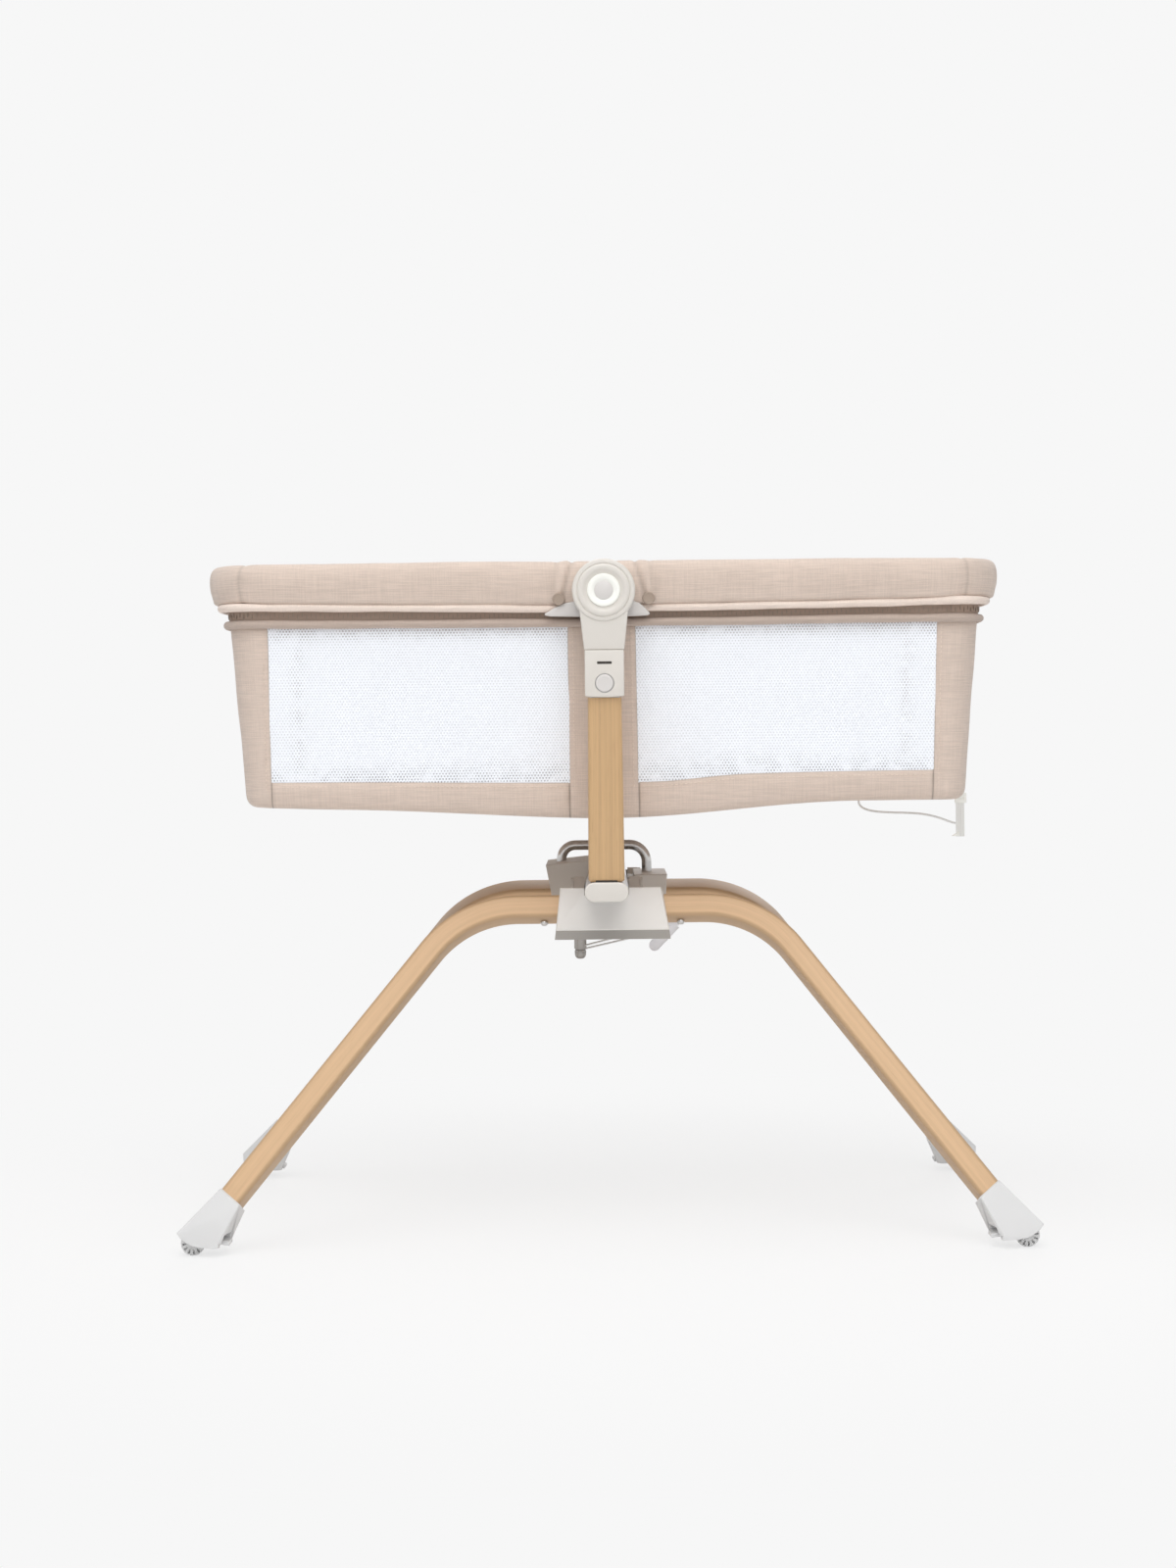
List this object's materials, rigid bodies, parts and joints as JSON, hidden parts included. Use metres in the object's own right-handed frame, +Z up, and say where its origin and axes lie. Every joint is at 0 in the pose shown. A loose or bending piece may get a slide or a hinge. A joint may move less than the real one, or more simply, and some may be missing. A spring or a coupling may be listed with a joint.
{
  "type": "bedside crib",
  "caption": "Folding bedside crib: fabric basket with net windows and a padded rim, tilting and height-adjusting between two posts on a wheeled base of bent arches.",
  "frame": {"origin": "on the floor under the middle of the crib", "axes": "+X along the crib's length, +Y away from the near side in the picture, +Z up"},
  "size_m": [0.9818, 0.6144, 0.785],
  "materials": {
    "linen": "melange linen weave, matt",
    "window_net": "fine white spacer net with small holes",
    "ash_wood": "light ash with a satin lacquer",
    "grey_plastic": "warm light grey, satin",
    "shade_plastic": "warm grey, satin",
    "foot_plastic": "pale neutral grey, satin",
    "wheel_plastic": "pale grey ribbed tread",
    "bright_steel": "polished",
    "aluminium": "satin",
    "milky_plastic": "milky translucent",
    "white_webbing": "fine white webbing",
    "mattress_cloth": "white quilted cotton",
    "base_board": "plain fibre board"
  },
  "bodies": {
    "base": {"crossbar": "aluminium", "crossbar_cap_near": "grey_plastic", "crossbar_cap_far": "grey_plastic", "post_near": "ash_wood", "post_far": "ash_wood", "fold_pin_near": "bright_steel", "fold_pin_far": "bright_steel", "hub_base": "shade_plastic", "hub_cover_left": "shade_plastic", "hub_cover_right": "shade_plastic", "lock_bolt": "bright_steel", "lock_wire": "bright_steel", "pull_tab": "milky_plastic"},
    "fold_release": {"fold_handle": "bright_steel"},
    "near_legs": {"arch_near": "ash_wood", "arch_bracket_near": "grey_plastic", "foot_near_left": "foot_plastic", "foot_near_right": "foot_plastic"},
    "far_legs": {"arch_far": "ash_wood", "arch_bracket_far": "grey_plastic", "foot_far_left": "foot_plastic", "foot_far_right": "foot_plastic"},
    "near_left_wheel": {"wheel_near_left": "wheel_plastic"},
    "near_right_wheel": {"wheel_near_right": "wheel_plastic"},
    "far_left_wheel": {"wheel_far_left": "wheel_plastic"},
    "far_right_wheel": {"wheel_far_right": "wheel_plastic"},
    "near_left_brake": {"brake_pedal_near_left": "foot_plastic"},
    "near_right_brake": {"brake_pedal_near_right": "foot_plastic"},
    "far_left_brake": {"brake_pedal_far_left": "foot_plastic"},
    "far_right_brake": {"brake_pedal_far_right": "foot_plastic"},
    "carriage": {"sliding_tube_near": "aluminium", "sliding_tube_far": "aluminium", "height_head_near": "grey_plastic", "height_head_far": "grey_plastic", "pivot_neck_near": "grey_plastic", "pivot_neck_far": "grey_plastic", "pivot_cap_near": "grey_plastic", "pivot_cap_far": "grey_plastic"},
    "near_button": {"height_button_near": "grey_plastic"},
    "far_button": {"height_button_far": "grey_plastic"},
    "basket": {"pivot_pin_near": "bright_steel", "pivot_pin_far": "bright_steel", "rim_bracket_near": "grey_plastic", "rim_bracket_far": "grey_plastic", "rim_tube_left": "aluminium", "rim_tube_right": "aluminium", "rim_sleeve_left": "linen", "rim_sleeve_right": "linen", "basket_shell": "linen", "window_near_left": "window_net", "window_near_right": "window_net", "window_far_left": "window_net", "window_far_right": "window_net", "base_board": "base_board", "mattress": "mattress_cloth", "tether_strap": "white_webbing", "tether_buckle": "white_webbing", "tether_cord": "white_webbing"}
  },
  "joints": [
    {"name": "height_adjust", "type": "slide", "parent": "base", "child": "carriage", "axis": [0, 0, 1], "range_m": [0, 0.1]},
    {"name": "near_height_button", "type": "slide", "parent": "carriage", "child": "near_button", "axis": [0, 1, 0], "range_m": [0, 0.003], "stiffness_N_per_m": 300},
    {"name": "far_height_button", "type": "slide", "parent": "carriage", "child": "far_button", "axis": [0, -1, 0], "range_m": [0, 0.003], "stiffness_N_per_m": 300},
    {"name": "basket_tilt", "type": "hinge", "parent": "carriage", "child": "basket", "pos_m": [0, 0, 0.749], "axis": [0, 1, 0], "range_deg": [-10, 10]},
    {"name": "fold_handle_lift", "type": "slide", "parent": "base", "child": "fold_release", "axis": [0, 0, 1], "range_m": [0, 0.01], "stiffness_N_per_m": 400},
    {"name": "near_leg_fold", "type": "hinge", "parent": "base", "child": "near_legs", "pos_m": [0, -0.105, 0.408], "axis": [1, 0, 0], "range_deg": [0, 32]},
    {"name": "far_leg_fold", "type": "hinge", "parent": "base", "child": "far_legs", "pos_m": [0, 0.105, 0.408], "axis": [1, 0, 0], "range_deg": [-32, 0]},
    {"name": "near_left_wheel_spin", "type": "hinge", "parent": "near_legs", "child": "near_left_wheel", "pos_m": [-0.47329, -0.27505, 0.01388], "axis": [0, 1, 0], "continuous": true},
    {"name": "near_right_wheel_spin", "type": "hinge", "parent": "near_legs", "child": "near_right_wheel", "pos_m": [0.47329, -0.27505, 0.01388], "axis": [0, 1, 0], "continuous": true},
    {"name": "far_left_wheel_spin", "type": "hinge", "parent": "far_legs", "child": "far_left_wheel", "pos_m": [-0.47329, 0.27505, 0.01388], "axis": [0, 1, 0], "continuous": true},
    {"name": "far_right_wheel_spin", "type": "hinge", "parent": "far_legs", "child": "far_right_wheel", "pos_m": [0.47329, 0.27505, 0.01388], "axis": [0, 1, 0], "continuous": true},
    {"name": "near_left_brake_press", "type": "hinge", "parent": "near_legs", "child": "near_left_brake", "pos_m": [-0.45139, -0.27505, 0.0165], "axis": [0, 1, 0], "range_deg": [0, 12]},
    {"name": "near_right_brake_press", "type": "hinge", "parent": "near_legs", "child": "near_right_brake", "pos_m": [0.45139, -0.27505, 0.0165], "axis": [0, 1, 0], "range_deg": [-12, 0]},
    {"name": "far_left_brake_press", "type": "hinge", "parent": "far_legs", "child": "far_left_brake", "pos_m": [-0.45139, 0.27505, 0.0165], "axis": [0, 1, 0], "range_deg": [0, 12]},
    {"name": "far_right_brake_press", "type": "hinge", "parent": "far_legs", "child": "far_right_brake", "pos_m": [0.45139, 0.27505, 0.0165], "axis": [0, 1, 0], "range_deg": [-12, 0]}
  ],
  "couplings": [
    {"joint": "far_leg_fold", "follows": "near_leg_fold", "ratio": -1}
  ]
}
